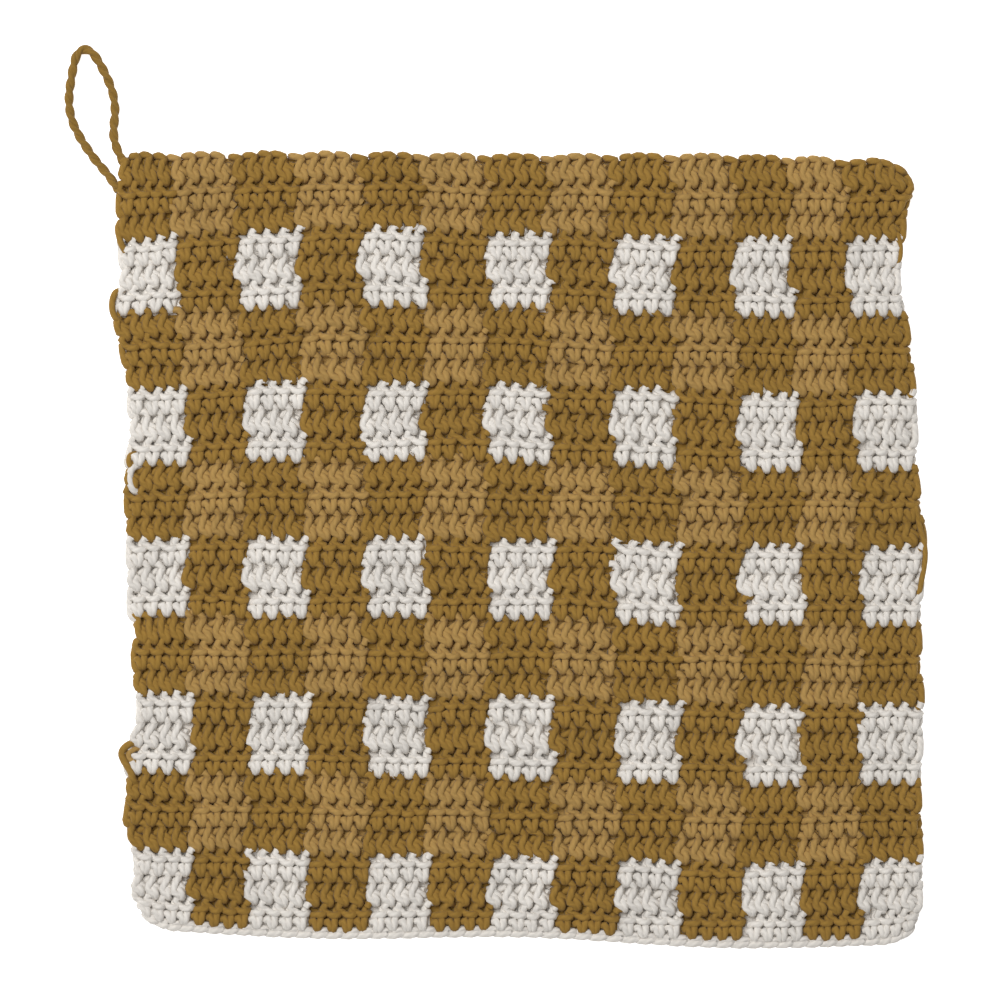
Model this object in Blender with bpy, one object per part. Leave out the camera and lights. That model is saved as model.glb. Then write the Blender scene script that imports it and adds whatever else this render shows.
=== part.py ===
"""A crocheted pot holder: a thick square of checks in three yarns, with a twisted hanging loop.

It lies flat, face up. The origin is under the middle of the cloth, +X is right, +Y is up the face
and +Z comes out of it. Sizes are in metres.
"""

import math
from collections import namedtuple

import bmesh
import bpy

# What is worked: half double crochet in checks of 4 stitches by 3 rows, 13 checks across and 10 down.
CHECKS_ACROSS = 13
CHECKS_DOWN = 10
STITCHES_PER_CHECK = 4
ROWS_PER_CHECK = 3
STITCHES = CHECKS_ACROSS * STITCHES_PER_CHECK
ROWS = CHECKS_DOWN * ROWS_PER_CHECK
STITCH_WIDTH = 0.0039
ROW_HEIGHT = 0.00672
GRID_STEPS_PER_ROW = 2  # of the face, so that each row can stand out

# How thick the cloth is, and how far its relief goes.
CLOTH_THICKNESS = 0.0039
RIM_SHARE = 0.55  # of the thickness, at the outer edge of the last stitches
RIM_WIDTH = 0.0055  # how far in from the edge the full thickness starts
RIDGE_HEIGHT = 0.00028  # each row makes one ridge, up and down from the mean
CHECK_CROWN = 0.00055  # how far the middle of a check stands over its seams
FOOT_INSET = 0.0011  # the underside is this much smaller than the rim
TOP_SCALLOP = 0.0010  # each check of the first row swells upwards
SIDE_SCALLOP = 0.0003  # each turn of the yarn swells sideways
SCALLOP_ROWS = 2.0  # how deep a scallop reaches into the cloth

# Rounding of the four corners, measured along the edges.
CORNER_RADIUS = {
    ("left", "top"): 0.0055,
    ("right", "top"): 0.0085,
    ("left", "bottom"): 0.0120,
    ("right", "bottom"): 0.0105,
}

# Width of each column of checks, left to right, in millimetres: the hand that worked it pulled
# some columns tighter than others.
CHECK_WIDTHS_MM = (15.2, 14.8, 15.1, 15.4, 15.6, 15.8, 16.3, 16.3, 16.3, 16.2, 15.4, 15.0, 15.8)

# The lines between the rows of checks, top to bottom, in millimetres: where each line starts
# and ends across, how far its middle is pushed to the right, how far its last stitches stand out
# of the left and right edges, and its height at five places.
CheckLine = namedtuple(
    "CheckLine",
    "left_x right_x push left_out right_out left_y quarter_y middle_y three_quarter_y right_y",
)
CHECK_LINES_MM = (
    CheckLine(-104.9, 97.9, 4.8, -1.8, 2.7, 101.4, 101.6, 101.0, 101.1, 99.4),
    CheckLine(-104.3, 98.6, 4.1, -1.0, 0.3, 79.4, 82.7, 81.5, 80.1, 79.9),
    CheckLine(-102.8, 99.9, 2.8, 1.1, -0.1, 60.4, 63.0, 62.1, 60.4, 60.1),
    CheckLine(-101.2, 101.2, 1.3, -0.7, 0.7, 41.2, 43.2, 42.6, 40.6, 40.4),
    CheckLine(-100.4, 102.5, 0.3, 1.3, -0.1, 22.0, 23.3, 22.9, 20.9, 20.7),
    CheckLine(-100.2, 103.7, -0.2, 0.6, 0.7, 2.7, 3.3, 2.8, 1.3, 1.1),
    CheckLine(-99.9, 104.0, -0.2, 0.4, -0.9, -17.0, -16.9, -17.5, -18.9, -19.0),
    CheckLine(-99.4, 103.5, -0.1, -0.6, 0.2, -37.1, -37.3, -38.0, -39.6, -39.6),
    CheckLine(-99.3, 103.2, 0.2, 1.7, -0.1, -56.9, -57.7, -58.5, -60.1, -59.7),
    CheckLine(-99.6, 103.2, 0.5, 0.7, 0.5, -76.4, -78.1, -78.7, -80.5, -79.5),
    CheckLine(-100.0, 103.3, 0.9, -0.8, -0.3, -97.6, -100.2, -99.8, -102.6, -101.6),
)

# Single places where a side edge swells out or draws in, in millimetres.
EdgeSwelling = namedtuple("EdgeSwelling", "side y out reach")
EDGE_SWELLINGS_MM = (
    EdgeSwelling("left", 70.5, -1.3, 7.0),
    EdgeSwelling("left", 60.5, 0.9, 3.0),
    EdgeSwelling("left", 28.0, -1.3, 6.0),
    EdgeSwelling("left", -21.5, -1.5, 3.0),
    EdgeSwelling("left", -42.0, -1.3, 4.5),
    EdgeSwelling("left", -53.0, 2.6, 4.0),
    EdgeSwelling("left", -71.0, 1.0, 3.0),
    EdgeSwelling("left", -80.5, -1.5, 4.0),
    EdgeSwelling("right", 69.0, -1.6, 6.0),
    EdgeSwelling("right", 93.0, 1.4, 5.0),
)
REACH_IN = 0.08  # of the width, how deep into the cloth an edge's swelling is felt

# The hanging loop: a cord of two plies twisted round each other.
LOOP_DIAMETER = 0.0020
LOOP_WAIST = 0.34  # how much narrower the two plies are across than along
LOOP_TWIST_LENGTH = 0.0064  # one whole turn of the plies
LOOP_SECTION_POINTS = 10
LOOP_STEPS = 72

# The loop's route in millimetres, from the left side of the corner round to its top.
LOOP_ROUTE_MM = (
    (-103.69, 96.2, 1.8),
    (-106.2, 97.6, 1.4),
    (-108.5, 99.7, 1.1),
    (-110.9, 102.7, 1.05),
    (-113.1, 106.3, 1.05),
    (-114.8, 110.2, 1.05),
    (-115.6, 114.2, 1.05),
    (-115.5, 118.0, 1.05),
    (-114.9, 121.7, 1.05),
    (-114.4, 124.7, 1.05),
    (-113.8, 126.9, 1.05),
    (-112.4, 128.5, 1.05),
    (-110.6, 128.4, 1.05),
    (-108.9, 126.7, 1.05),
    (-107.1, 123.7, 1.05),
    (-105.4, 120.2, 1.05),
    (-104.2, 116.4, 1.05),
    (-103.8, 112.5, 1.05),
    (-104.3, 108.9, 1.05),
    (-104.5, 105.9, 1.1),
    (-103.8, 103.1, 1.4),
    (-101.7, 100.28, 1.8),
)

# The three yarns: colour, roughness.
YARNS = {
    "ochre_yarn": ((0.258, 0.147, 0.030), 0.9),
    "light_ochre_yarn": ((0.340, 0.208, 0.065), 0.9),
    "off_white_yarn": ((0.635, 0.600, 0.555), 0.9),
}


def millimetres(value):
    return value / 1000.0


def read_smoothly(values, at):
    """The value at a place along a table, on a smooth curve through its entries."""
    last = len(values) - 1
    at = min(max(at, 0.0), float(last))
    i = min(int(at), last - 1)
    t = at - i
    before = values[i - 1] if i > 0 else 2 * values[0] - values[1]
    after = values[i + 2] if i + 2 <= last else 2 * values[last] - values[last - 1]
    a, b = values[i], values[i + 1]
    return a + 0.5 * t * (
        (b - before) + t * (2 * before - 5 * a + 4 * b - after + t * (3 * (a - b) + after - before))
    )


def column_shares():
    """The share of the width at which each line between two columns of checks stands."""
    shares = [0.0]
    for width in CHECK_WIDTHS_MM:
        shares.append(shares[-1] + width)
    return [share / shares[-1] for share in shares]


COLUMN_SHARES = column_shares()
LINE_COLUMNS = {name: [getattr(line, name) for line in CHECK_LINES_MM] for name in CheckLine._fields}
HEIGHT_PLACES = ("left_y", "quarter_y", "middle_y", "three_quarter_y", "right_y")


def rounded_corner(across, down):
    """Moves a place near a corner in, so that the corner of the square lands on an arc."""
    width, height = STITCHES * STITCH_WIDTH, ROWS * ROW_HEIGHT
    x, y = across * STITCH_WIDTH, down * ROW_HEIGHT
    for (side, end), radius in CORNER_RADIUS.items():
        out_x = radius - x if side == "left" else x - (width - radius)
        out_y = radius - y if end == "top" else y - (height - radius)
        if out_x <= 0 or out_y <= 0:
            continue
        new_x = out_x * math.sqrt(1 - (out_y / radius) ** 2 / 2)
        new_y = out_y * math.sqrt(1 - (out_x / radius) ** 2 / 2)
        x = radius - new_x if side == "left" else width - radius + new_x
        y = radius - new_y if end == "top" else height - radius + new_y
    return x / STITCH_WIDTH, y / ROW_HEIGHT


def cloth_place(across, down):
    """Where a place of the work lies, in metres: stitches across from the left, rows down."""
    across, down = rounded_corner(across, down)
    line = down / ROWS_PER_CHECK
    share = read_smoothly(COLUMN_SHARES, across / STITCHES_PER_CHECK)
    left = read_smoothly(LINE_COLUMNS["left_x"], line)
    right = read_smoothly(LINE_COLUMNS["right_x"], line)
    push = read_smoothly(LINE_COLUMNS["push"], line) * math.sin(math.pi * share)
    x = left + (right - left) * share + push
    near_left = max(0.0, 1 - share / REACH_IN)
    near_right = max(0.0, 1 - (1 - share) / REACH_IN)
    x += read_smoothly(LINE_COLUMNS["right_out"], line) * near_right
    x -= read_smoothly(LINE_COLUMNS["left_out"], line) * near_left
    heights = [read_smoothly(LINE_COLUMNS[place], line) for place in HEIGHT_PLACES]
    y = read_smoothly(heights, (len(heights) - 1) * across / STITCHES)

    for swelling in EDGE_SWELLINGS_MM:
        near = math.exp(-(((y - swelling.y) / swelling.reach) ** 2))
        if swelling.side == "left":
            x -= swelling.out * near * near_left
        else:
            x += swelling.out * near * near_right
    x, y = millimetres(x), millimetres(y)

    top_felt = max(0.0, 1 - down / SCALLOP_ROWS)
    y += TOP_SCALLOP * top_felt * abs(math.sin(math.pi * across / STITCHES_PER_CHECK))
    turn_swell = SIDE_SCALLOP * abs(math.sin(math.pi * down))
    x -= turn_swell * max(0.0, 1 - across / 2)
    x += turn_swell * max(0.0, 1 - (STITCHES - across) / 2)
    return x, y


def cloth_height(across, down):
    """How high the face is there: crowned checks, a ridge for each row, a thin rim."""
    in_check_x = math.sin(math.pi * across / STITCHES_PER_CHECK) ** 2
    in_check_y = math.sin(math.pi * down / ROWS_PER_CHECK) ** 2
    crown = CHECK_CROWN * (in_check_x * in_check_y) ** 0.5
    ridge = -RIDGE_HEIGHT * math.cos(2 * math.pi * down)
    from_side = min(across, STITCHES - across) * STITCH_WIDTH
    from_end = min(down, ROWS - down) * ROW_HEIGHT
    rise = min(min(from_side, from_end) / RIM_WIDTH, 1.0)
    rim = RIM_SHARE + (1 - RIM_SHARE) * math.sin(rise * math.pi / 2)
    return (CLOTH_THICKNESS - CHECK_CROWN + crown + ridge) * rim


def yarn_of_check(column, row):
    """The gingham: even and odd columns swap shade from one row of checks to the next."""
    if row % 2 == 0:
        return "ochre_yarn" if column % 2 == 0 else "light_ochre_yarn"
    return "off_white_yarn" if column % 2 == 0 else "ochre_yarn"


def yarn_material(name):
    colour, roughness = YARNS[name]
    material = bpy.data.materials.get(name) or bpy.data.materials.new(name)
    material.use_nodes = True
    shader = material.node_tree.nodes["Principled BSDF"]
    shader.inputs["Base Color"].default_value = (*colour, 1.0)
    shader.inputs["Roughness"].default_value = roughness
    shader.inputs["Metallic"].default_value = 0.0
    return material


def make_cloth(collection):
    """The worked square: its face is a grid with a point at every stitch and half row."""
    mesh = bpy.data.meshes.new("cloth")
    for name in YARNS:
        mesh.materials.append(yarn_material(name))
    yarn_numbers = {name: number for number, name in enumerate(YARNS)}

    bm = bmesh.new()
    bmesh.ops.create_grid(bm, x_segments=STITCHES, y_segments=ROWS * GRID_STEPS_PER_ROW, size=1.0)
    for face in bm.faces:
        centre = face.calc_center_median()
        column = int((centre.x + 1) / 2 * CHECKS_ACROSS)
        row = int((1 - centre.y) / 2 * CHECKS_DOWN)
        face.material_index = yarn_numbers[yarn_of_check(column, row)]
    worked = {}
    for vert in bm.verts:
        across = (vert.co.x + 1) / 2 * STITCHES
        down = (1 - vert.co.y) / 2 * ROWS
        worked[vert.index] = (across, down)
        vert.co = (*cloth_place(across, down), cloth_height(across, down))

    rim_edges = [edge for edge in bm.edges if edge.is_boundary]
    rim_verts = {vert for edge in rim_edges for vert in edge.verts}
    foot_places = {tuple(vert.co): worked[vert.index] for vert in rim_verts}
    extruded = bmesh.ops.extrude_edge_only(bm, edges=rim_edges)["geom"]
    for vert in extruded:
        if not isinstance(vert, bmesh.types.BMVert):
            continue
        across, down = foot_places[tuple(vert.co)]
        inset_across, inset_down = FOOT_INSET / STITCH_WIDTH, FOOT_INSET / ROW_HEIGHT
        across = min(max(across, inset_across), STITCHES - inset_across)
        down = min(max(down, inset_down), ROWS - inset_down)
        vert.co = (*cloth_place(across, down), 0.0)
    foot_edges = [edge for edge in bm.edges if edge.is_boundary]
    bmesh.ops.edgeloop_fill(bm, edges=foot_edges)
    bmesh.ops.recalc_face_normals(bm, faces=bm.faces)
    bm.to_mesh(mesh)
    bm.free()

    mesh.shade_smooth()
    mesh.set_sharp_from_angle(angle=math.radians(50))
    collection.objects.link(bpy.data.objects.new("cloth", mesh))


def make_ply_section(guides):
    """The cord's section, two plies side by side, which the twist turns along the route."""
    outline = bpy.data.curves.new("loop_section", "CURVE")
    outline.dimensions = "2D"
    spline = outline.splines.new("POLY")
    spline.points.add(LOOP_SECTION_POINTS - 1)
    for number, point in enumerate(spline.points):
        turn = -2 * math.pi * number / LOOP_SECTION_POINTS
        radius = LOOP_DIAMETER / 2 * (1 - LOOP_WAIST * math.sin(turn) ** 2)
        point.co = (radius * math.cos(turn), radius * math.sin(turn), 0.0, 1.0)
    spline.use_cyclic_u = True
    section = bpy.data.objects.new("loop_section", outline)
    section.hide_render = True
    section.display_type = "WIRE"
    guides.objects.link(section)
    return section


def make_hanging_loop(collection, guides):
    """The twisted cord that leaves the corner and comes back to it."""
    cord = bpy.data.curves.new("hanging_loop", "CURVE")
    cord.dimensions = "3D"
    cord.twist_mode = "Z_UP"
    cord.bevel_mode = "OBJECT"
    cord.bevel_object = make_ply_section(guides)
    cord.use_fill_caps = True
    cord.materials.append(yarn_material("ochre_yarn"))

    axes = list(zip(*LOOP_ROUTE_MM))
    last = len(LOOP_ROUTE_MM) - 1
    spline = cord.splines.new("POLY")
    spline.points.add(LOOP_STEPS - 1)
    travelled = 0.0
    before = None
    for number, point in enumerate(spline.points):
        at = last * number / (LOOP_STEPS - 1)
        place = [millimetres(read_smoothly(axis, at)) for axis in axes]
        travelled += math.dist(place, before) if before else 0.0
        before = place
        point.co = (*place, 1.0)
        point.tilt = 2 * math.pi * travelled / LOOP_TWIST_LENGTH
    collection.objects.link(bpy.data.objects.new("hanging_loop", cord))


def main():
    for old in list(bpy.data.objects):
        bpy.data.objects.remove(old, do_unlink=True)
    holder = bpy.data.collections.new("crocheted_pot_holder")
    guides = bpy.data.collections.new("guides")
    for collection in (holder, guides):
        bpy.context.scene.collection.children.link(collection)
    make_cloth(holder)
    make_hanging_loop(holder, guides)


main()
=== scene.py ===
"""The crocheted pot holder as it looks: every stitch is worked in yarn, in checks of three shades.

It is half double crochet, turned at the end of each row. Places on the cloth are counted as they
are worked: stitches across from the left edge, and rows down from the top edge. A table of the
lines between the checks then says where each place lies. Sizes are in metres unless a name ends
in _MM.
"""

import math
from collections import namedtuple

import bpy
import numpy as np
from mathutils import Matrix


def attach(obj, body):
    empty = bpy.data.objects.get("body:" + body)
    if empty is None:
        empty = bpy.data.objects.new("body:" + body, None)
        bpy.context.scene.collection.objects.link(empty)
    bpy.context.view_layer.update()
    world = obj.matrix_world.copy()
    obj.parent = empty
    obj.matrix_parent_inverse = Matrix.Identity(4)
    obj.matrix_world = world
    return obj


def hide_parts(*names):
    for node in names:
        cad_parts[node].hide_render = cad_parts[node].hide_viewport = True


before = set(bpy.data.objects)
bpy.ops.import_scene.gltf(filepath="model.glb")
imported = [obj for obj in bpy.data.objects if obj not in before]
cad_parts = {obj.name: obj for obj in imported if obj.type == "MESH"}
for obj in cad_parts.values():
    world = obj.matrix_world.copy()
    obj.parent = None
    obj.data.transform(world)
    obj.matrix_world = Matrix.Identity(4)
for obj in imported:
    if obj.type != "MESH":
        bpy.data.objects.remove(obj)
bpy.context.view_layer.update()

# ---------------------------------------------------------------- the work

CHECKS_ACROSS = 13
CHECKS_DOWN = 10
STITCHES_PER_CHECK = 4
ROWS_PER_CHECK = 3
STITCHES = CHECKS_ACROSS * STITCHES_PER_CHECK
ROWS = CHECKS_DOWN * ROWS_PER_CHECK
STITCH_WIDTH = 0.0039
ROW_HEIGHT = 0.00672

# ---------------------------------------------------------------- where the work lies

CORNER_RADIUS = {
    ("left", "top"): 0.0055,
    ("right", "top"): 0.0085,
    ("left", "bottom"): 0.0120,
    ("right", "bottom"): 0.0105,
}
CHECK_WIDTHS_MM = (15.2, 14.8, 15.1, 15.4, 15.6, 15.8, 16.3, 16.3, 16.3, 16.2, 15.4, 15.0, 15.8)

# The lines between the rows of checks, top to bottom, in millimetres: where each line starts
# and ends across, how far its middle is pushed to the right, how far its two ends stand out,
# and its height at five places.
CheckLine = namedtuple(
    "CheckLine",
    "left_x right_x push left_out right_out left_y quarter_y middle_y three_quarter_y right_y",
)
CHECK_LINES_MM = (
    CheckLine(-104.9, 97.9, 4.8, -1.8, 2.7, 101.4, 101.6, 101.0, 101.1, 99.4),
    CheckLine(-104.3, 98.6, 4.1, -1.0, 0.3, 79.4, 82.7, 81.5, 80.1, 79.9),
    CheckLine(-102.8, 99.9, 2.8, 1.1, -0.1, 60.4, 63.0, 62.1, 60.4, 60.1),
    CheckLine(-101.2, 101.2, 1.3, -0.7, 0.7, 41.2, 43.2, 42.6, 40.6, 40.4),
    CheckLine(-100.4, 102.5, 0.3, 1.3, -0.1, 22.0, 23.3, 22.9, 20.9, 20.7),
    CheckLine(-100.2, 103.7, -0.2, 0.6, 0.7, 2.7, 3.3, 2.8, 1.3, 1.1),
    CheckLine(-99.9, 104.0, -0.2, 0.4, -0.9, -17.0, -16.9, -17.5, -18.9, -19.0),
    CheckLine(-99.4, 103.5, -0.1, -0.6, 0.2, -37.1, -37.3, -38.0, -39.6, -39.6),
    CheckLine(-99.3, 103.2, 0.2, 1.7, -0.1, -56.9, -57.7, -58.5, -60.1, -59.7),
    CheckLine(-99.6, 103.2, 0.5, 0.7, 0.5, -76.4, -78.1, -78.7, -80.5, -79.5),
    CheckLine(-100.0, 103.3, 0.9, -0.8, -0.3, -97.6, -100.2, -99.8, -102.6, -101.6),
)

# Single places where a side edge swells out or draws in, in millimetres.
EdgeSwelling = namedtuple("EdgeSwelling", "side y out reach")
EDGE_SWELLINGS_MM = (
    EdgeSwelling("left", 70.5, -1.3, 7.0),
    EdgeSwelling("left", 60.5, 0.9, 3.0),
    EdgeSwelling("left", 28.0, -1.3, 6.0),
    EdgeSwelling("left", -21.5, -1.5, 3.0),
    EdgeSwelling("left", -42.0, -1.3, 4.5),
    EdgeSwelling("left", -53.0, 0.4, 4.0),
    EdgeSwelling("left", -71.0, 1.0, 3.0),
    EdgeSwelling("left", -80.5, -1.5, 4.0),
    EdgeSwelling("right", 69.0, -1.6, 6.0),
    EdgeSwelling("right", 93.0, 1.4, 5.0),
)
REACH_IN = 0.08  # of the width, how deep into the cloth an edge's swelling is felt
TOP_SCALLOP = 0.0010  # each check of the first row swells upwards
SCALLOP_ROWS = 2.0  # how deep the scallop reaches into the cloth

# The outer yarn's own thickness lies inside the outline.
SIDE_INSET = 0.19  # stitches
TOP_INSET = 0.11  # rows
BOTTOM_INSET = 0.31  # rows, with the foundation chain
INSET_STITCHES = 4.0  # how many stitches are drawn together for it
INSET_ROWS = 3.0
SETTLED = 0.07  # rows, how far the work hangs below its places away from its ends

# ---------------------------------------------------------------- the yarn

YARN_RADIUS = 0.00095
YARN_SIDES = 7
MIDDLE_HEIGHT = 0.00210  # of the cloth's middle layer over the surface
CARRIED_HEIGHT = 0.00060  # of the carried strands' middle, between the rows
CARRIED_RISE = 0.00140  # how much higher they lie inside a row
CARRIED_THICKNESS = 0.0008
CARRIED_STEPS = 6  # for each row
CARRIED_TOP = 0.32  # rows over the row's foot, where the strands are highest
CARRIED_SIDE_MARGIN = 0.12  # stitches, between the strands and the side edges
CARRIED_END_MARGIN = 0.10  # rows, between them and the top and bottom edges
STITCHES_PER_CARRIED_STEP = 2
FACE_CROWN = 0.10  # how much further the yarn stands out in the middle of a check
CROWN_ROUNDNESS = 0.25  # a smaller power gives a flatter crown with steeper sides
SEED = 7

# One half double crochet, in the order in which its yarn runs. along: stitches in the direction
# of work. up: rows. out: millimetres towards the one who works it.
YarnPoint = namedtuple("YarnPoint", "along up out")
WRAP_PATH = (  # along the back, over to the front, and under to the back
    YarnPoint(0.06, 0.80, -0.40),
    YarnPoint(0.28, 0.70, -0.50),
    YarnPoint(0.47, 0.66, -1.28),
    YarnPoint(0.66, 0.64, -1.50),
    YarnPoint(0.86, 0.67, -1.15),
    YarnPoint(0.98, 0.74, -0.35),
    YarnPoint(0.88, 0.74, 0.28),
    YarnPoint(0.62, 0.58, 0.58),
    YarnPoint(0.22, 0.42, 0.45),
    YarnPoint(0.04, 0.34, -0.25),
    YarnPoint(0.10, 0.37, -0.95),
    YarnPoint(0.26, 0.42, -1.36),
    YarnPoint(0.35, 0.25, -1.42),
    YarnPoint(0.41, 0.12, -1.15),
)
LEG_PATH = (  # through the hole, and up the front as a loop with two legs
    YarnPoint(0.46, 0.07, -0.50),
    YarnPoint(0.45, 0.08, 0.40),
    YarnPoint(0.42, 0.14, 1.10),
    YarnPoint(0.42, 0.27, 1.38),
    YarnPoint(0.54, 0.38, 1.25),
    YarnPoint(0.70, 0.46, 0.85),
    YarnPoint(0.80, 0.60, 0.30),
    YarnPoint(0.72, 0.80, 0.25),
    YarnPoint(0.70, 0.92, 0.75),
    YarnPoint(0.83, 0.76, 1.20),
    YarnPoint(0.96, 0.58, 1.40),
    YarnPoint(1.02, 0.43, 1.40),
    YarnPoint(0.96, 0.31, 1.42),
    YarnPoint(0.77, 0.25, 1.38),
    YarnPoint(0.61, 0.16, 1.10),
    YarnPoint(0.54, 0.08, 0.40),
    YarnPoint(0.54, 0.07, -0.50),
)
RISE_PATH = (  # up the back
    YarnPoint(0.60, 0.12, -1.15),
    YarnPoint(0.66, 0.26, -1.42),
    YarnPoint(0.68, 0.45, -1.20),
    YarnPoint(0.70, 0.72, -0.35),
)
TOP_LOOP_PATH = (  # the loop that lies over the next stitch
    YarnPoint(0.74, 1.00, 0.50),
    YarnPoint(0.96, 1.12, 0.75),
    YarnPoint(1.24, 1.15, 0.70),
    YarnPoint(1.40, 1.12, 0.00),
    YarnPoint(1.24, 1.15, -0.70),
    YarnPoint(1.00, 1.11, -0.95),
    YarnPoint(0.84, 0.96, -0.90),
)
CARRIED_END = YarnPoint(0.70, 0.50, 0.00)  # where a yarn that is left goes inside
CARRIED_START = YarnPoint(0.10, 0.60, 0.00)  # where a yarn that is taken up comes out

# How far the stitches stand to the right of their places, by the side that is up.
FACE_UP_DRIFT = -0.11  # stitches
FACE_DOWN_DRIFT = 0.12
DRIFT_REACH = 3  # stitches from a side edge to where the drift is whole
CHANGE_GAP = 0.03  # how much each check's stitches stand together, away from the next yarn
LAID_FROM = 0.85  # rows, above which the last row's loops are laid down
LAID_SHARE = 0.40
OTHER_END_SHARE = 0.08  # of the changes of yarn that come one loop early

# How unevenly the hand works: spreads of one stitch, as shares of a stitch, a row or itself.
HandSpread = namedtuple("HandSpread", "along up lean width height strand tint")
HAND = HandSpread(along=0.04, up=0.02, lean=0.06, width=0.08, height=0.06, strand=0.02, tint=0.05)
LEAN_HEIGHT = 0.3  # rows, the height at which a leaning stitch stays in its place
WAVES = 14  # slow waves of drift over the cloth
WAVE_RATE_ACROSS = 0.55  # radians a stitch, spread
WAVE_RATE_DOWN = 0.90  # radians a row, spread
WAVE_SIDEWAYS = 0.035  # stitches, each
WAVE_DOWNWARDS = 0.016  # rows, each
EDGE_HOLD = 2  # stitches, over which the waves die away at the sides
SIDE_LIMIT = 0.04  # stitches, how far the yarn may pass the first and last stitch's side

# The turn at the end of a row. beyond: stitches past the edge. up: rows over the ended row's
# foot. height: millimetres over the middle layer.
TurnPoint = namedtuple("TurnPoint", "beyond up height")
TURN_PATH = (
    TurnPoint(-0.25, 0.92, 0.30),
    TurnPoint(-0.04, 1.00, 0.70),
    TurnPoint(0.05, 1.15, 0.70),
    TurnPoint(0.06, 1.35, 0.30),
    TurnPoint(0.06, 1.60, -0.10),
    TurnPoint(0.02, 1.82, -0.40),
    TurnPoint(-0.15, 1.92, -0.50),
)
TURN_SPREAD = 0.03  # stitches, how unevenly the turns stand out

# One stitch of the foundation chain, in stitches, rows and millimetres.
CHAIN_PATH = (
    YarnPoint(0.00, -0.08, -0.75),
    YarnPoint(0.30, -0.15, 0.10),
    YarnPoint(0.75, -0.16, 0.62),
    YarnPoint(1.20, -0.10, 0.45),
    YarnPoint(1.34, -0.02, 0.05),
    YarnPoint(1.20, 0.03, 0.40),
    YarnPoint(0.75, 0.04, 0.50),
    YarnPoint(0.30, 0.00, 0.05),
    YarnPoint(0.50, -0.05, -0.80),
)

# Yarns that are carried up a side edge from one check to the next: radii and routes in
# millimetres.
SideStrand = namedtuple("SideStrand", "yarn radius route")
SIDE_STRANDS_MM = (
    SideStrand(
        "ochre_yarn",
        0.95,
        (
            (-97.2, -49.3, 1.6),
            (-99.3, -49.6, 3.4),
            (-101.1, -50.7, 3.8),
            (-101.9, -52.3, 3.8),
            (-101.3, -54.1, 3.8),
            (-100.3, -55.7, 3.8),
            (-99.5, -57.2, 3.7),
            (-99.0, -59.0, 3.4),
            (-97.7, -60.6, 1.8),
        ),
    ),
    SideStrand(
        "light_ochre_yarn",
        0.80,
        (
            (-97.2, -50.8, 1.6),
            (-98.8, -51.2, 2.9),
            (-100.1, -52.1, 3.2),
            (-100.1, -53.5, 3.3),
            (-99.0, -54.4, 3.2),
            (-97.5, -55.2, 1.6),
        ),
    ),
    SideStrand(
        "ochre_yarn",
        0.85,
        (
            (-101.6, 66.7, 1.6),
            (-103.4, 66.0, 3.2),
            (-104.2, 64.4, 3.6),
            (-104.4, 62.6, 3.7),
            (-104.2, 60.9, 3.7),
            (-103.4, 59.3, 3.6),
            (-101.8, 57.9, 2.0),
        ),
    ),
    SideStrand(
        "ochre_yarn",
        0.75,
        (
            (-98.3, 24.8, 1.6),
            (-99.8, 24.0, 3.2),
            (-100.1, 22.5, 3.5),
            (-99.5, 21.2, 3.3),
            (-98.0, 20.4, 1.6),
        ),
    ),
    SideStrand(
        "off_white_yarn",
        0.95,
        (
            (-97.2, 21.7, 1.6),
            (-99.0, 21.0, 3.3),
            (-99.8, 19.2, 3.6),
            (-99.7, 17.1, 3.6),
            (-98.9, 15.3, 3.3),
            (-97.2, 14.5, 1.6),
        ),
    ),
    SideStrand(
        "ochre_yarn",
        0.85,
        (
            (-102.4, 84.2, 1.6),
            (-102.9, 82.4, 3.4),
            (-102.5, 80.1, 3.7),
            (-101.9, 78.1, 3.6),
            (-100.8, 76.3, 2.4),
        ),
    ),
    SideStrand(
        "ochre_yarn",
        0.75,
        (
            (100.1, 13.5, 1.6),
            (101.6, 11.2, 3.3),
            (102.2, 8.4, 3.3),
            (103.0, 5.0, 3.3),
            (103.9, 1.7, 3.3),
            (104.2, -1.4, 3.3),
            (103.9, -4.5, 3.3),
            (103.3, -7.8, 3.2),
            (102.6, -10.9, 3.0),
            (101.1, -13.0, 1.6),
        ),
    ),
    SideStrand(
        "ochre_yarn",
        0.60,
        (
            (95.7, 81.9, 1.8),
            (97.1, 80.9, 3.6),
            (97.7, 78.8, 3.6),
            (97.9, 76.5, 3.6),
            (97.5, 74.2, 3.4),
            (95.9, 72.7, 1.8),
        ),
    ),
)

SIDE_STRAND_STEPS = 4  # for each point of a route

# ---------------------------------------------------------------- the hanging loop

LOOP_DIAMETER = 0.0025
LOOP_PLY_RADIUS = 0.00083
LOOP_PLY_SIDES = 8
LOOP_TWIST_LENGTH = 0.0070
LOOP_STEPS = 150
LOOP_TINT = -0.25  # tightly twisted yarn looks darker
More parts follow.
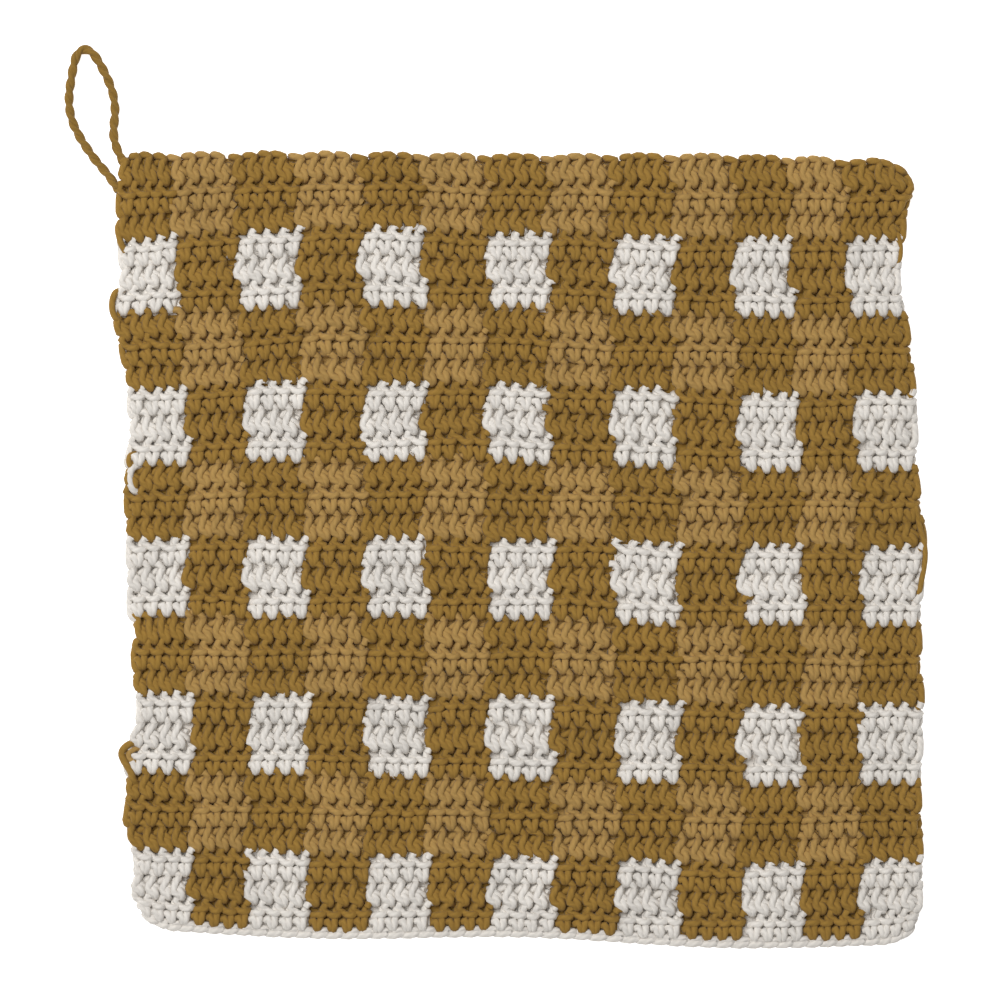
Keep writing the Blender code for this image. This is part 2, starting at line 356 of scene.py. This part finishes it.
# The route in millimetres, from inside the corner's left side round to inside its top.
LOOP_ROUTE_MM = (
    (-102.7, 92.2, 2.5),
    (-103.6, 93.4, 2.8),
    (-104.9, 95.3, 2.2),
    (-106.4, 97.2, 1.55),
    (-108.6, 99.8, 1.3),
    (-110.9, 102.9, 1.3),
    (-113.1, 106.4, 1.3),
    (-114.8, 110.2, 1.3),
    (-115.6, 114.2, 1.3),
    (-115.5, 118.0, 1.3),
    (-114.9, 121.7, 1.3),
    (-114.4, 124.5, 1.3),
    (-113.7, 126.8, 1.3),
    (-112.4, 128.3, 1.3),
    (-110.6, 128.3, 1.3),
    (-108.9, 126.7, 1.3),
    (-107.1, 123.7, 1.3),
    (-105.4, 120.2, 1.3),
    (-104.2, 116.4, 1.3),
    (-103.8, 112.5, 1.3),
    (-104.1, 109.0, 1.3),
    (-104.1, 105.9, 1.35),
    (-103.3, 103.0, 1.6),
    (-102.2, 100.6, 1.95),
    (-101.3, 98.9, 2.4),
)

# ---------------------------------------------------------------- colours

# Yarn shades: base colour, as linear values.
YARN_SHADES = {
    "ochre_yarn": (0.258, 0.147, 0.030),
    "light_ochre_yarn": (0.340, 0.208, 0.065),
    "off_white_yarn": (0.635, 0.600, 0.555),
}
DARKEST, LIGHTEST = 0.45, 1.2  # times the base colour
# Where between the two a yarn is, and how much each thing changes it.
MIDDLE_SHADE = 0.80
# painted shade: the grooves between the plies are darker and the plies' crowns lighter
PLY_GROOVE_PAINTED_SHADE = 0.16
MOTTLE_SHADE = 0.35
DRIFT_SHADE = 0.25
PLIES = 3.0
PLY_TWIST_LENGTH = 0.0062
MOTTLE_SCALE, MOTTLE_DETAIL = 420.0, 3.0  # fine, like fibres
DRIFT_SCALE, DRIFT_DETAIL = 45.0, 2.0  # broad, over several stitches
ROUGHEST, ROUGHNESS_FALL = 0.98, 0.2
PLY_RELIEF, MOTTLE_RELIEF = 0.7, 0.5
RELIEF_STRENGTH, RELIEF_DEPTH = 0.6, 0.00015
SHEEN, SHEEN_ROUGHNESS = 0.08, 0.5
SPECULAR_LEVEL = 0.15

# ---------------------------------------------------------------- view and light

PIXEL = 0.0002572  # metres to one pixel of a 1000 pixel frame, on the cloth
FRAME_PIXELS = 1000
CLOTH_MIDDLE_PIXEL = (519.0, 549.5)
CAMERA_HEIGHT = 1.2
CAMERA_REACH = 10.0
SENSOR_WIDTH_MM = 36.0
FLOOR_HALF = 3.0
FLOOR_SHADE = 0.95
FLOOR_ROUGHNESS = 0.9
FLOOR_GLOW = 0.8  # keeps the floor as pale as the photograph's background
WORLD_STRENGTH = 0.33
KEY_PLACE = (-0.42, 0.38, 1.25)
KEY_SIZE = 0.9
KEY_WATTS = 16.5


class Value:
    """A socket that takes part in sums, each of which adds a Math node to its tree."""

    def __init__(self, graph, socket):
        self.graph = graph
        self.socket = socket

    def _math(self, operation, *values):
        sources = dict(enumerate(values))
        return self.graph.node("ShaderNodeMath", sources, operation=operation)

    def __add__(self, other):
        return self._math("ADD", self, other)

    def __radd__(self, other):
        return self._math("ADD", other, self)

    def __sub__(self, other):
        return self._math("SUBTRACT", self, other)

    def __rsub__(self, other):
        return self._math("SUBTRACT", other, self)

    def __mul__(self, other):
        return self._math("MULTIPLY", self, other)

    def __rmul__(self, other):
        return self._math("MULTIPLY", other, self)

    def cosine(self):
        return self._math("COSINE", self)

    def clamped(self):
        return self._math("MAXIMUM", self._math("MINIMUM", self, 1.0), 0.0)


class Graph:
    """A node tree that is built by naming each node's kind, settings and sources."""

    def __init__(self, tree):
        self.tree = tree

    def node(self, kind, sources=None, output=0, **settings):
        """Adds a node and gives its output. Sources are plain values or Values, by input."""
        made = self.tree.nodes.new(kind)
        for name, setting in settings.items():
            setattr(made, name, setting)
        for name, source in (sources or {}).items():
            if isinstance(source, Value):
                self.tree.links.new(source.socket, made.inputs[name])
            else:
                made.inputs[name].default_value = source
        return Value(self, made.outputs[output])


# ---------------------------------------------------------------- places on the cloth


def read_smoothly(values, at):
    """The values at places along a table, on a smooth curve through its entries."""
    values = np.asarray(values, float)
    last = len(values) - 1
    padded = np.concatenate([[2 * values[0] - values[1]], values, [2 * values[-1] - values[-2]]])
    at = np.clip(at, 0.0, last)
    i = np.minimum(at.astype(int), last - 1)
    t = at - i
    before, a, b, after = (padded[i + step] for step in range(4))
    return a + 0.5 * t * (
        (b - before) + t * (2 * before - 5 * a + 4 * b - after + t * (3 * (a - b) + after - before))
    )


def rounded_corner(across, down):
    """Moves places near a corner in, so that the corner of the square lands on an arc."""
    width, height = STITCHES * STITCH_WIDTH, ROWS * ROW_HEIGHT
    x, y = across * STITCH_WIDTH, down * ROW_HEIGHT
    for (side, end), radius in CORNER_RADIUS.items():
        out_x = radius - x if side == "left" else x - (width - radius)
        out_y = radius - y if end == "top" else y - (height - radius)
        inside = (out_x > 0) & (out_y > 0)
        new_x = out_x * np.sqrt(np.maximum(1 - (out_y / radius) ** 2 / 2, 0))
        new_y = out_y * np.sqrt(np.maximum(1 - (out_x / radius) ** 2 / 2, 0))
        x = np.where(inside, radius - new_x if side == "left" else width - radius + new_x, x)
        y = np.where(inside, radius - new_y if end == "top" else height - radius + new_y, y)
    return x / STITCH_WIDTH, y / ROW_HEIGHT


COLUMN_SHARES = np.concatenate([[0.0], np.cumsum(CHECK_WIDTHS_MM)]) / sum(CHECK_WIDTHS_MM)
LINE_COLUMNS = dict(zip(CheckLine._fields, zip(*CHECK_LINES_MM)))
HEIGHT_PLACES = ("left_y", "quarter_y", "middle_y", "three_quarter_y", "right_y")


def drawn_in(at, count, first, last, reach):
    """Places along the work, drawn in at its two ends by the first and the last inset."""
    at = at + first * np.clip(1 - at / reach, 0, 1)
    return at - last * np.clip(1 - (count - at) / reach, 0, 1)


def cloth_place(across, down):
    """Where places of the work lie, in metres: stitches across from the left, rows down."""
    across = drawn_in(across, STITCHES, SIDE_INSET, SIDE_INSET, INSET_STITCHES)
    down = down + SETTLED * np.clip(np.minimum(down, ROWS - down), 0, 1)
    down = drawn_in(down, ROWS, TOP_INSET, BOTTOM_INSET, INSET_ROWS)
    over_side = across - np.clip(across, 0, STITCHES)
    over_end = down - np.clip(down, 0, ROWS)
    across, down = rounded_corner(across - over_side, down - over_end)

    line = down / ROWS_PER_CHECK
    share = read_smoothly(COLUMN_SHARES, across / STITCHES_PER_CHECK)
    column = {name: read_smoothly(values, line) for name, values in LINE_COLUMNS.items()}
    x = column["left_x"] * (1 - share) + column["right_x"] * share
    x += column["push"] * np.sin(math.pi * share)
    near_left = np.maximum(0.0, 1 - share / REACH_IN)
    near_right = np.maximum(0.0, 1 - (1 - share) / REACH_IN)
    x += column["right_out"] * near_right - column["left_out"] * near_left

    at = (len(HEIGHT_PLACES) - 1) * across / STITCHES
    y = np.zeros_like(x)
    for number, place in enumerate(HEIGHT_PLACES):
        y += column[place] * read_smoothly(np.eye(len(HEIGHT_PLACES))[number], at)

    for swelling in EDGE_SWELLINGS_MM:
        near = np.exp(-(((y - swelling.y) / swelling.reach) ** 2))
        if swelling.side == "left":
            x -= swelling.out * near * near_left
        else:
            x += swelling.out * near * near_right
    x, y = x / 1000, y / 1000

    top_felt = np.maximum(0.0, 1 - down / SCALLOP_ROWS)
    y += TOP_SCALLOP * top_felt * np.abs(np.sin(math.pi * across / STITCHES_PER_CHECK))
    return x + over_side * STITCH_WIDTH, y - over_end * ROW_HEIGHT


def check_crown(across, down):
    """1 in the middle of a check and 0 along its seams."""
    in_check_x = np.sin(math.pi * across / STITCHES_PER_CHECK) ** 2
    in_check_y = np.sin(math.pi * down / ROWS_PER_CHECK) ** 2
    return (in_check_x * in_check_y) ** CROWN_ROUNDNESS


def yarn_of_check(column, row):
    """The gingham: even and odd columns swap shade from one row of checks to the next."""
    if row % 2 == 0:
        return "ochre_yarn" if column % 2 == 0 else "light_ochre_yarn"
    return "off_white_yarn" if column % 2 == 0 else "ochre_yarn"


# ---------------------------------------------------------------- stitches as yarn

RANDOM = np.random.default_rng(SEED)
# Slow waves of drift: across and down frequencies, phase, and strength sideways and downwards.
WAVE_TABLE = np.concatenate(
    [
        RANDOM.normal(0, WAVE_RATE_ACROSS, (WAVES, 1)),
        RANDOM.normal(0, WAVE_RATE_DOWN, (WAVES, 1)),
        RANDOM.uniform(0, 2 * math.pi, (WAVES, 1)),
        RANDOM.normal(0, WAVE_SIDEWAYS, (WAVES, 1)),
        RANDOM.normal(0, WAVE_DOWNWARDS, (WAVES, 1)),
    ],
    axis=1,
)


def hand_drift(across, down):
    """How far uneven tension has moved places of the work: stitches sideways, rows down."""
    sideways, downwards = np.zeros_like(across), np.zeros_like(down)
    for rate_across, rate_down, phase, strength_side, strength_down in WAVE_TABLE:
        wave = np.sin(rate_across * across + rate_down * down + phase)
        sideways += strength_side * wave
        downwards += strength_down * wave
    inner = np.clip(np.minimum(across, STITCHES - across) / EDGE_HOLD, 0, 1)
    inner = inner * np.clip(np.minimum(down, ROWS - down), 0, 1)
    return sideways * inner, downwards * inner


def laid_yarn(across, down, height):
    """Points of yarn in metres, from places of the work and millimetres over the middle layer."""
    sideways, downwards = hand_drift(across, down)
    x, y = cloth_place(across + sideways, down + downwards)
    swell = 1 - FACE_CROWN + 2 * FACE_CROWN * check_crown(across, down)
    z = MIDDLE_HEIGHT + height * swell / 1000
    return np.stack([x, y, np.maximum(z, YARN_RADIUS)], axis=1)


def worked_part(number, *parts):
    """Parts of a stitch as this hand makes them: never quite the same, with the yarn's tint."""
    along, up, out = np.concatenate([np.array(part, ndmin=2) for part in parts]).T
    along = 0.5 + (along - 0.5) * (1 + RANDOM.normal(0, HAND.width))
    along = along + RANDOM.normal(0, HAND.along)
    along = along + RANDOM.normal(0, HAND.lean) * (up - LEAN_HEIGHT)
    up = up + RANDOM.normal(0, HAND.up)
    out = out * (1 + RANDOM.normal(0, HAND.height))
    along = along + RANDOM.normal(0, HAND.strand, len(along))
    up = up + RANDOM.normal(0, HAND.strand * STITCH_WIDTH / ROW_HEIGHT, len(along))
    tint = np.full(len(along), RANDOM.normal(0, HAND.tint))
    return np.stack([along + number, up, out, tint], axis=1)


def stitch_run(column, row, own_start, own_end):
    """The yarn of one row of one check: its points in metres, and a tint for each.

    row counts from the bottom edge. Rows are turned: even rows are worked from left to right
    with their face down, odd rows from right to left with their face up. own_start and own_end
    say whether the loops over its first stitch and over the next check's are its own.
    """
    parts = [worked_part(-1, TOP_LOOP_PATH)] if own_start else []
    for number in range(STITCHES_PER_CHECK):
        last = number == STITCHES_PER_CHECK - 1
        start = WRAP_PATH if number or own_start else (CARRIED_START, *WRAP_PATH[2:])
        end = (CARRIED_END,) if last and not own_end else (*RISE_PATH, *TOP_LOOP_PATH)
        parts.append(worked_part(number, start, LEG_PATH, end))
    along, up, out, tint = np.concatenate(parts).T
    if row == ROWS - 1:  # nothing is worked into the last row, so its loops lie down
        up = np.minimum(up, LAID_FROM) + LAID_SHARE * np.maximum(up - LAID_FROM, 0)

    face_up = row % 2 == 1
    first = column * STITCHES_PER_CHECK
    middle = STITCHES_PER_CHECK / 2
    along = middle + (along - middle) * (1 - CHANGE_GAP)
    across = first + STITCHES_PER_CHECK - along if face_up else first + along
    inner = np.clip(np.minimum(across, STITCHES - across) / DRIFT_REACH, 0, 1)
    across = across + (FACE_UP_DRIFT if face_up else FACE_DOWN_DRIFT) * inner
    across = np.clip(across, -SIDE_LIMIT, STITCHES + SIDE_LIMIT)
    return laid_yarn(across, ROWS - (row + up), out if face_up else -out), tint


def turn_run(row, side):
    """The yarn that climbs from the end of a row to the start of the next."""
    beyond, up, height = np.array(TURN_PATH).T
    beyond = beyond + RANDOM.normal(0, TURN_SPREAD)
    across = -beyond if side == "left" else STITCHES + beyond
    return laid_yarn(across, ROWS - (row + up), height), np.zeros(len(up))


def foundation_run():
    """The chain along the bottom edge, on which the first row stands."""
    path = np.array(CHAIN_PATH)
    parts = [path + (number, 0, 0) for number in range(STITCHES)]
    along, up, out = np.concatenate(parts).T
    along = np.clip(along, -SIDE_LIMIT, STITCHES + SIDE_LIMIT)
    return laid_yarn(along, ROWS - up, out), np.zeros(len(up))


def joined(*runs):
    """Runs of the same yarn that follow each other, as one run."""
    return tuple(np.concatenate(part) for part in zip(*runs))


def yarn_tree():
    """Geometry nodes that sweep a yarn along the edges of a mesh."""
    tree = bpy.data.node_groups.new("sweep_yarn", "GeometryNodeTree")
    face = tree.interface
    face.new_socket("Runs", in_out="INPUT", socket_type="NodeSocketGeometry")
    face.new_socket("Yarn radius", in_out="INPUT", socket_type="NodeSocketFloat")
    face.new_socket("Sides", in_out="INPUT", socket_type="NodeSocketInt")
    face.new_socket("Yarn", in_out="INPUT", socket_type="NodeSocketMaterial")
    face.new_socket("Worked", in_out="OUTPUT", socket_type="NodeSocketGeometry")
    graph = Graph(tree)
    given = tree.nodes.new("NodeGroupInput")
    runs, radius, sides, yarn = (Value(graph, given.outputs[i]) for i in range(4))

    routes = graph.node("GeometryNodeMeshToCurve", {"Mesh": runs})
    length = graph.node("GeometryNodeSplineParameter", output="Length")
    routes = graph.node(
        "GeometryNodeStoreNamedAttribute",
        {"Geometry": routes, "Name": "along_yarn", "Value": length},
        data_type="FLOAT",
        domain="POINT",
    )
    ring = graph.node("GeometryNodeCurvePrimitiveCircle", {"Resolution": sides, "Radius": radius})
    turn = graph.node("GeometryNodeSplineParameter", output="Factor") * (2 * math.pi)
    cosine = turn.cosine()
    sine = (turn - math.pi / 2).cosine()
    for name, value in (("round_cosine", cosine), ("round_sine", sine)):
        ring = graph.node(
            "GeometryNodeStoreNamedAttribute",
            {"Geometry": ring, "Name": name, "Value": value},
            data_type="FLOAT",
            domain="POINT",
        )
    swept = graph.node(
        "GeometryNodeCurveToMesh", {"Curve": routes, "Profile Curve": ring, "Fill Caps": True}
    )
    swept = graph.node("GeometryNodeSetShadeSmooth", {"Geometry": swept})
    swept = graph.node("GeometryNodeSetMaterial", {"Geometry": swept, "Material": yarn})
    swept = graph.node("GeometryNodeRealizeInstances", {"Geometry": swept})
    out = tree.nodes.new("NodeGroupOutput")
    tree.links.new(swept.socket, out.inputs["Worked"])
    return tree


def swept_yarn(name, runs, material, radius=YARN_RADIUS, sides=YARN_SIDES):
    """One mesh object of yarn that follows the given runs, each of points and their tints."""
    points, tints, edges = [], [], []
    for run, tint in runs:
        start = len(points)
        points.extend(run.tolist())
        tints.extend(tint.tolist())
        edges.extend((start + i, start + i + 1) for i in range(len(run) - 1))
    guide_mesh = bpy.data.meshes.new(name + "_runs")
    guide_mesh.from_pydata(points, edges, [])
    guide_mesh.attributes.new("tint", "FLOAT", "POINT").data.foreach_set("value", tints)
    guide = bpy.data.objects.new(name + "_runs", guide_mesh)
    bpy.context.scene.collection.objects.link(guide)

    tree = bpy.data.node_groups.get("sweep_yarn") or yarn_tree()
    sweep = guide.modifiers.new("sweep", "NODES")
    sweep.node_group = tree
    wanted = {"Yarn radius": radius, "Sides": sides, "Yarn": material}
    for item in tree.interface.items_tree:
        if item.in_out == "INPUT" and item.name in wanted:
            sweep[item.identifier] = wanted[item.name]
    graph = bpy.context.evaluated_depsgraph_get()
    mesh = bpy.data.meshes.new_from_object(guide.evaluated_get(graph), depsgraph=graph)
    mesh.name = name
    bpy.data.objects.remove(guide)
    piece = bpy.data.objects.new(name, mesh)
    bpy.context.scene.collection.objects.link(piece)
    return piece


# ---------------------------------------------------------------- materials


def yarn_material(name):
    """Matt cotton in three plies, whose twist shows as fine slanting grooves, with painted shade
    darkening the grooves in the colour.
    """
    material = bpy.data.materials.new(name)
    material.use_nodes = True
    tree = material.node_tree
    graph = Graph(tree)
    shader = tree.nodes["Principled BSDF"]

    along = graph.node("ShaderNodeAttribute", output="Fac", attribute_name="along_yarn")
    cosine = graph.node("ShaderNodeAttribute", output="Fac", attribute_name="round_cosine")
    sine = graph.node("ShaderNodeAttribute", output="Fac", attribute_name="round_sine")
    angle = graph.node("ShaderNodeMath", {0: sine, 1: cosine}, operation="ARCTAN2")
    ply = (angle * PLIES + along * (2 * math.pi * PLIES / PLY_TWIST_LENGTH)).cosine() * 0.5 + 0.5
    place = graph.node("ShaderNodeTexCoord", output="Object")
    mottle = graph.node(
        "ShaderNodeTexNoise",
        {"Vector": place, "Scale": MOTTLE_SCALE, "Detail": MOTTLE_DETAIL},
        output="Fac",
    )
    drift = graph.node(
        "ShaderNodeTexNoise",
        {"Vector": place, "Scale": DRIFT_SCALE, "Detail": DRIFT_DETAIL},
        output="Fac",
    )
    tint = graph.node("ShaderNodeAttribute", output="Fac", attribute_name="tint")
    # the ply term is painted shade in the grooves between the plies; mottle, drift and tint are the
    # yarn's own uneven tone
    shade = MIDDLE_SHADE + ply * PLY_GROOVE_PAINTED_SHADE + (mottle - 0.5) * MOTTLE_SHADE
    shade = shade + (drift - 0.5) * DRIFT_SHADE + tint
    base = YARN_SHADES[name]
    dark = tuple(channel * DARKEST for channel in base)
    light = tuple(min(channel * LIGHTEST, 1.0) for channel in base)
    colour = graph.node(
        "ShaderNodeMix",
        {"Factor": shade.clamped(), 6: (*dark, 1.0), 7: (*light, 1.0)},
        output=2,
        data_type="RGBA",
    )
    tree.links.new(colour.socket, shader.inputs["Base Color"])
    roughness = ROUGHEST - mottle * ROUGHNESS_FALL
    tree.links.new(roughness.socket, shader.inputs["Roughness"])
    relief = ply * PLY_RELIEF + mottle * MOTTLE_RELIEF
    bump = graph.node(
        "ShaderNodeBump",
        {"Height": relief, "Strength": RELIEF_STRENGTH, "Distance": RELIEF_DEPTH},
    )
    tree.links.new(bump.socket, shader.inputs["Normal"])
    shader.inputs["Sheen Weight"].default_value = SHEEN
    shader.inputs["Sheen Roughness"].default_value = SHEEN_ROUGHNESS
    shader.inputs["Specular IOR Level"].default_value = SPECULAR_LEVEL
    return material


YARNS = {name: yarn_material(name) for name in YARN_SHADES}


# ---------------------------------------------------------------- pieces


def check_runs(check_row, starts):
    """The runs of one row of checks, by yarn. starts tells how each run's first loop is made."""
    runs = {}
    bottom = (CHECKS_DOWN - 1 - check_row) * ROWS_PER_CHECK
    for column in range(CHECKS_ACROSS):
        worked = []
        for row in range(bottom, bottom + ROWS_PER_CHECK):
            side, first, step = ("left", 0, 1) if row % 2 == 0 else ("right", CHECKS_ACROSS - 1, -1)
            at_end = not 0 <= column + step < CHECKS_ACROSS
            own_end = at_end or not starts[row, column + step]
            run = stitch_run(column, row, starts[row, column], own_end)
            if column == first and row > 0:
                run = joined(turn_run(row - 1, side), run)
                if worked:
                    run = joined(worked.pop(), run)
            worked.append(run)
        runs.setdefault(yarn_of_check(column, check_row), []).extend(worked)
    return runs


def make_stitches():
    """All the stitches, one object for each yarn in each row of checks."""
    pieces = []
    starts = RANDOM.random((ROWS, CHECKS_ACROSS)) < OTHER_END_SHARE
    starts[0::2, 0] = starts[1::2, -1] = True  # at the side edges the yarn turns
    for check_row in range(CHECKS_DOWN):
        for yarn, routes in check_runs(check_row, starts).items():
            name = f"{yarn.replace('_yarn', '')}_stitches_{check_row + 1}"
            piece = swept_yarn(name, routes, YARNS[yarn])
            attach(piece, "root")
            pieces.append(piece)
    chain = swept_yarn("foundation_chain", [foundation_run()], YARNS["off_white_yarn"])
    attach(chain, "root")
    return pieces + [chain]


def smooth_route(points_mm, steps):
    """Points in metres on a smooth curve through a route."""
    axes = np.array(points_mm).T / 1000
    at = np.linspace(0, len(points_mm) - 1, steps)
    return np.stack([read_smoothly(axis, at) for axis in axes], axis=1)


def make_side_strands():
    """The yarns carried up the side edges."""
    pieces = []
    for number, strand in enumerate(SIDE_STRANDS_MM):
        route = smooth_route(strand.route, SIDE_STRAND_STEPS * len(strand.route))
        run = (route, np.zeros(len(route)))
        name = f"side_strand_{number + 1}"
        piece = swept_yarn(name, [run], YARNS[strand.yarn], radius=strand.radius / 1000)
        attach(piece, "root")
        pieces.append(piece)
    return pieces


def make_carried_strands(stitches):
    """The carried strands inside the stitches: a thin sheet in the cloth's lower middle layer."""
    steps_across, steps_down = STITCHES // STITCHES_PER_CARRIED_STEP, ROWS * CARRIED_STEPS
    across, down = np.meshgrid(
        np.linspace(CARRIED_SIDE_MARGIN, STITCHES - CARRIED_SIDE_MARGIN, steps_across + 1),
        np.linspace(CARRIED_END_MARGIN, ROWS - CARRIED_END_MARGIN, steps_down + 1),
    )
    x, y = cloth_place(across, down)
    in_row = (1 + np.cos(2 * math.pi * (down + CARRIED_TOP))) / 2
    height = CARRIED_HEIGHT + CARRIED_RISE * in_row
    points = np.stack([x, y, height], axis=-1).reshape(-1, 3)
    row_length = steps_across + 1
    faces = [
        (i, i + row_length, i + row_length + 1, i + 1)
        for line in range(steps_down)
        for i in range(line * row_length, line * row_length + steps_across)
    ]
    mesh = bpy.data.meshes.new("carried_strands")
    mesh.from_pydata(points.tolist(), [], faces)
    for name in YARN_SHADES:
        mesh.materials.append(YARNS[name])
    names = list(YARN_SHADES)
    for number, polygon in enumerate(mesh.polygons):
        line, place = divmod(number, steps_across)
        column = place * CHECKS_ACROSS // steps_across
        check_row = line * CHECKS_DOWN // steps_down
        polygon.material_index = names.index(yarn_of_check(column, check_row))
    sheet = bpy.data.objects.new("carried_strands", mesh)
    bpy.context.scene.collection.objects.link(sheet)
    wall = sheet.modifiers.new("thickness", "SOLIDIFY")
    wall.thickness = CARRIED_THICKNESS
    wall.offset = 0.0
    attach(sheet, "root")
    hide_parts("cloth")
    return sheet


def make_hanging_loop():
    """The loop: two plies twisted round each other, along the cord's route."""
    route = smooth_route(LOOP_ROUTE_MM, LOOP_STEPS)
    steps = np.linalg.norm(np.diff(route, axis=0), axis=1)
    travelled = np.concatenate([[0.0], np.cumsum(steps)])
    heading = np.gradient(route, axis=0)
    heading /= np.linalg.norm(heading, axis=1, keepdims=True)
    side = np.cross(heading, (0.0, 0.0, 1.0))
    side /= np.linalg.norm(side, axis=1, keepdims=True)
    lift = np.cross(side, heading)
    offset = LOOP_DIAMETER / 2 - LOOP_PLY_RADIUS
    plies = []
    for start in (0.0, math.pi):
        turn = (2 * math.pi * travelled / LOOP_TWIST_LENGTH + start)[:, None]
        ply = route + offset * (np.cos(turn) * side + np.sin(turn) * lift)
        plies.append((ply, np.full(len(ply), LOOP_TINT)))
    yarn = YARNS["ochre_yarn"]
    loop = swept_yarn("loop_cord", plies, yarn, radius=LOOP_PLY_RADIUS, sides=LOOP_PLY_SIDES)
    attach(loop, "root")
    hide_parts("hanging_loop")
    return loop


# ---------------------------------------------------------------- view, floor and light


def make_camera():
    data = bpy.data.cameras.new("camera")
    data.sensor_width = SENSOR_WIDTH_MM
    data.lens = SENSOR_WIDTH_MM * CAMERA_HEIGHT / (FRAME_PIXELS * PIXEL)
    data.clip_end = CAMERA_REACH
    camera = bpy.data.objects.new("camera", data)
    middle = FRAME_PIXELS / 2
    camera.location = (
        (middle - CLOTH_MIDDLE_PIXEL[0]) * PIXEL,
        (CLOTH_MIDDLE_PIXEL[1] - middle) * PIXEL,
        CAMERA_HEIGHT,
    )
    bpy.context.scene.collection.objects.link(camera)
    bpy.context.scene.camera = camera


def make_floor():
    mesh = bpy.data.meshes.new("floor")
    corners = [(x * FLOOR_HALF, y * FLOOR_HALF, 0) for x, y in ((-1, -1), (1, -1), (1, 1), (-1, 1))]
    mesh.from_pydata(corners, [], [(0, 1, 2, 3)])
    material = bpy.data.materials.new("floor_white")
    material.use_nodes = True
    shader = material.node_tree.nodes["Principled BSDF"]
    shader.inputs["Base Color"].default_value = (FLOOR_SHADE, FLOOR_SHADE, FLOOR_SHADE, 1.0)
    shader.inputs["Roughness"].default_value = FLOOR_ROUGHNESS
    shader.inputs["Emission Color"].default_value = (1.0, 1.0, 1.0, 1.0)
    shader.inputs["Emission Strength"].default_value = FLOOR_GLOW
    mesh.materials.append(material)
    floor = bpy.data.objects.new("floor", mesh)
    bpy.context.scene.collection.objects.link(floor)


def make_lights():
    world = bpy.data.worlds.new("studio")
    world.use_nodes = True
    background = world.node_tree.nodes["Background"]
    background.inputs["Color"].default_value = (1.0, 1.0, 1.0, 1.0)
    background.inputs["Strength"].default_value = WORLD_STRENGTH
    bpy.context.scene.world = world
    data = bpy.data.lights.new("key", "AREA")
    data.size = KEY_SIZE
    data.energy = KEY_WATTS
    key = bpy.data.objects.new("key", data)
    key.location = KEY_PLACE
    towards_cloth = -key.location
    key.rotation_euler = towards_cloth.to_track_quat("-Z", "Y").to_euler()
    bpy.context.scene.collection.objects.link(key)
    bpy.context.scene.view_settings.view_transform = "Standard"


make_camera()
make_floor()
make_lights()
make_hanging_loop()
make_carried_strands(make_stitches() + make_side_strands())
